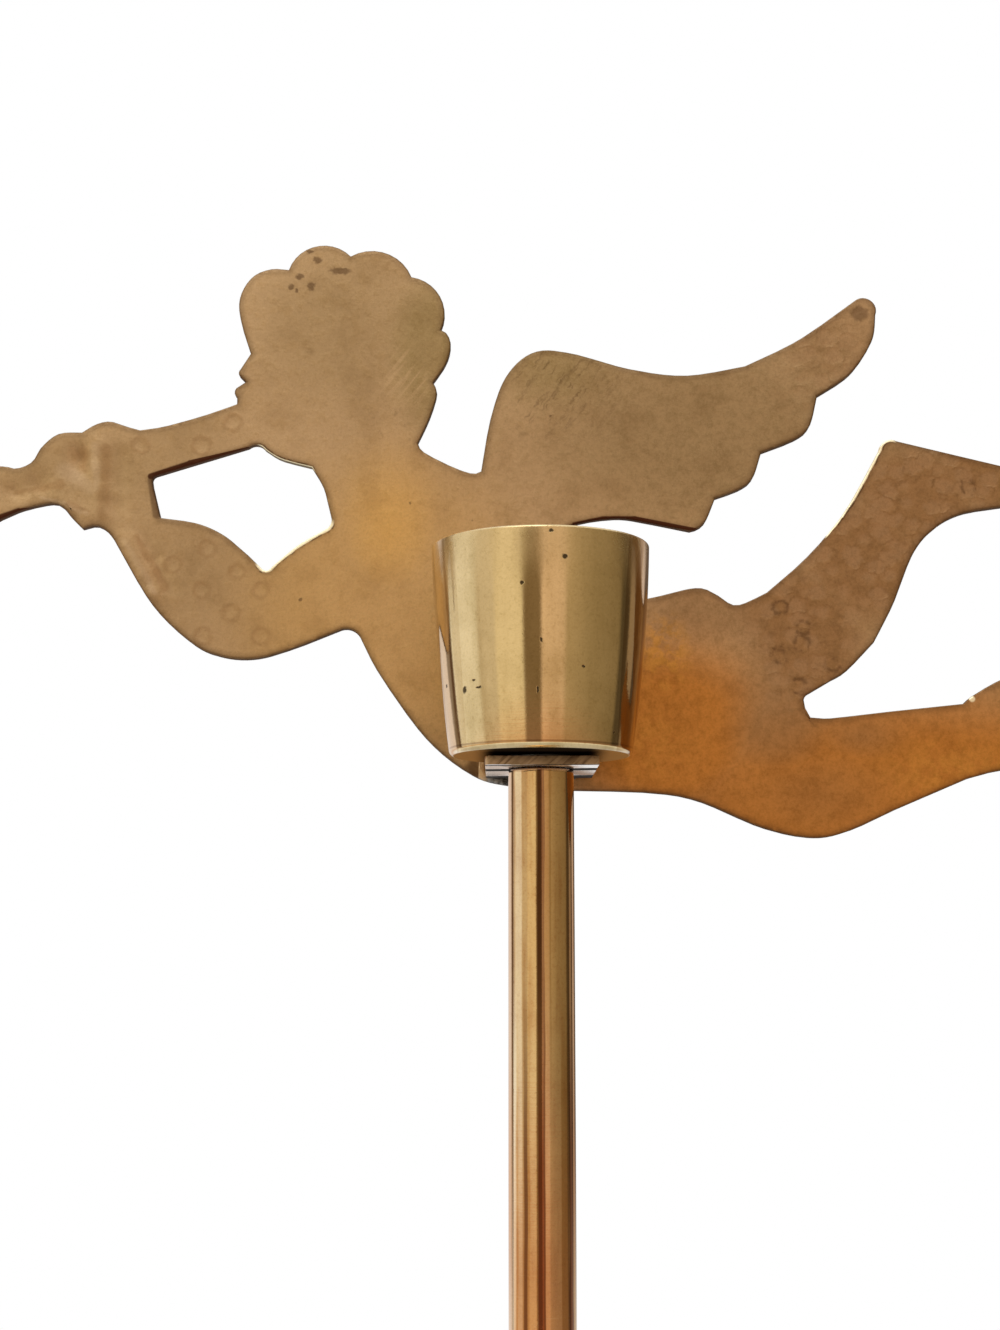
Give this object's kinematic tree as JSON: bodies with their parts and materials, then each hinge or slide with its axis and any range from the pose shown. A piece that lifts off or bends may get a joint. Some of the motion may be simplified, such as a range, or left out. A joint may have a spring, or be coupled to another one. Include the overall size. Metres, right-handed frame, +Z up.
{
  "type": "angel candlestick",
  "caption": "Table candlestick: a flat sheet-brass angel blowing a trumpet stands behind a tapered candle cup on a slim stem with a weighted round foot.",
  "frame": {"origin": "middle of the foot's underside, on the stem's axis", "axes": "+Z up along the stem, -Y the front, where the cup stands before the angel, -X the side the trumpet points to"},
  "size_m": [0.1672, 0.104, 0.2861],
  "materials": {
    "sheet_brass": "satin, tarnished",
    "bracket_brass": "sawn edge, tarnished",
    "cup_brass": "polished, lightly tarnished",
    "stem_brass": "polished, lightly tarnished",
    "foot_brass": "spun and polished",
    "solder": "dull soft solder",
    "steel": "bright plated",
    "iron": "raw casting",
    "felt": "pressed felt"
  },
  "bodies": {
    "stand": {"foot_felt": "felt", "foot_weight": "iron", "foot_shell": "foot_brass", "foot_washer": "steel", "foot_nut": "steel", "tie_rod": "steel", "stem_tube": "stem_brass", "spacer_washer": "steel", "cup_washer": "steel", "cup_nut": "steel"},
    "figure": {"angel_figure": "sheet_brass", "figure_bracket": "bracket_brass", "bracket_solder": "solder"},
    "cup": {"candle_cup": "cup_brass"}
  },
  "joints": [
    {"name": "angel_swivel", "type": "hinge", "parent": "stand", "child": "figure", "pos_m": [0, 0, 0.214], "axis": [0, 0, 1], "continuous": true},
    {"name": "cup_turn", "type": "hinge", "parent": "stand", "child": "cup", "pos_m": [0, 0, 0.216], "axis": [0, 0, 1], "continuous": true}
  ]
}
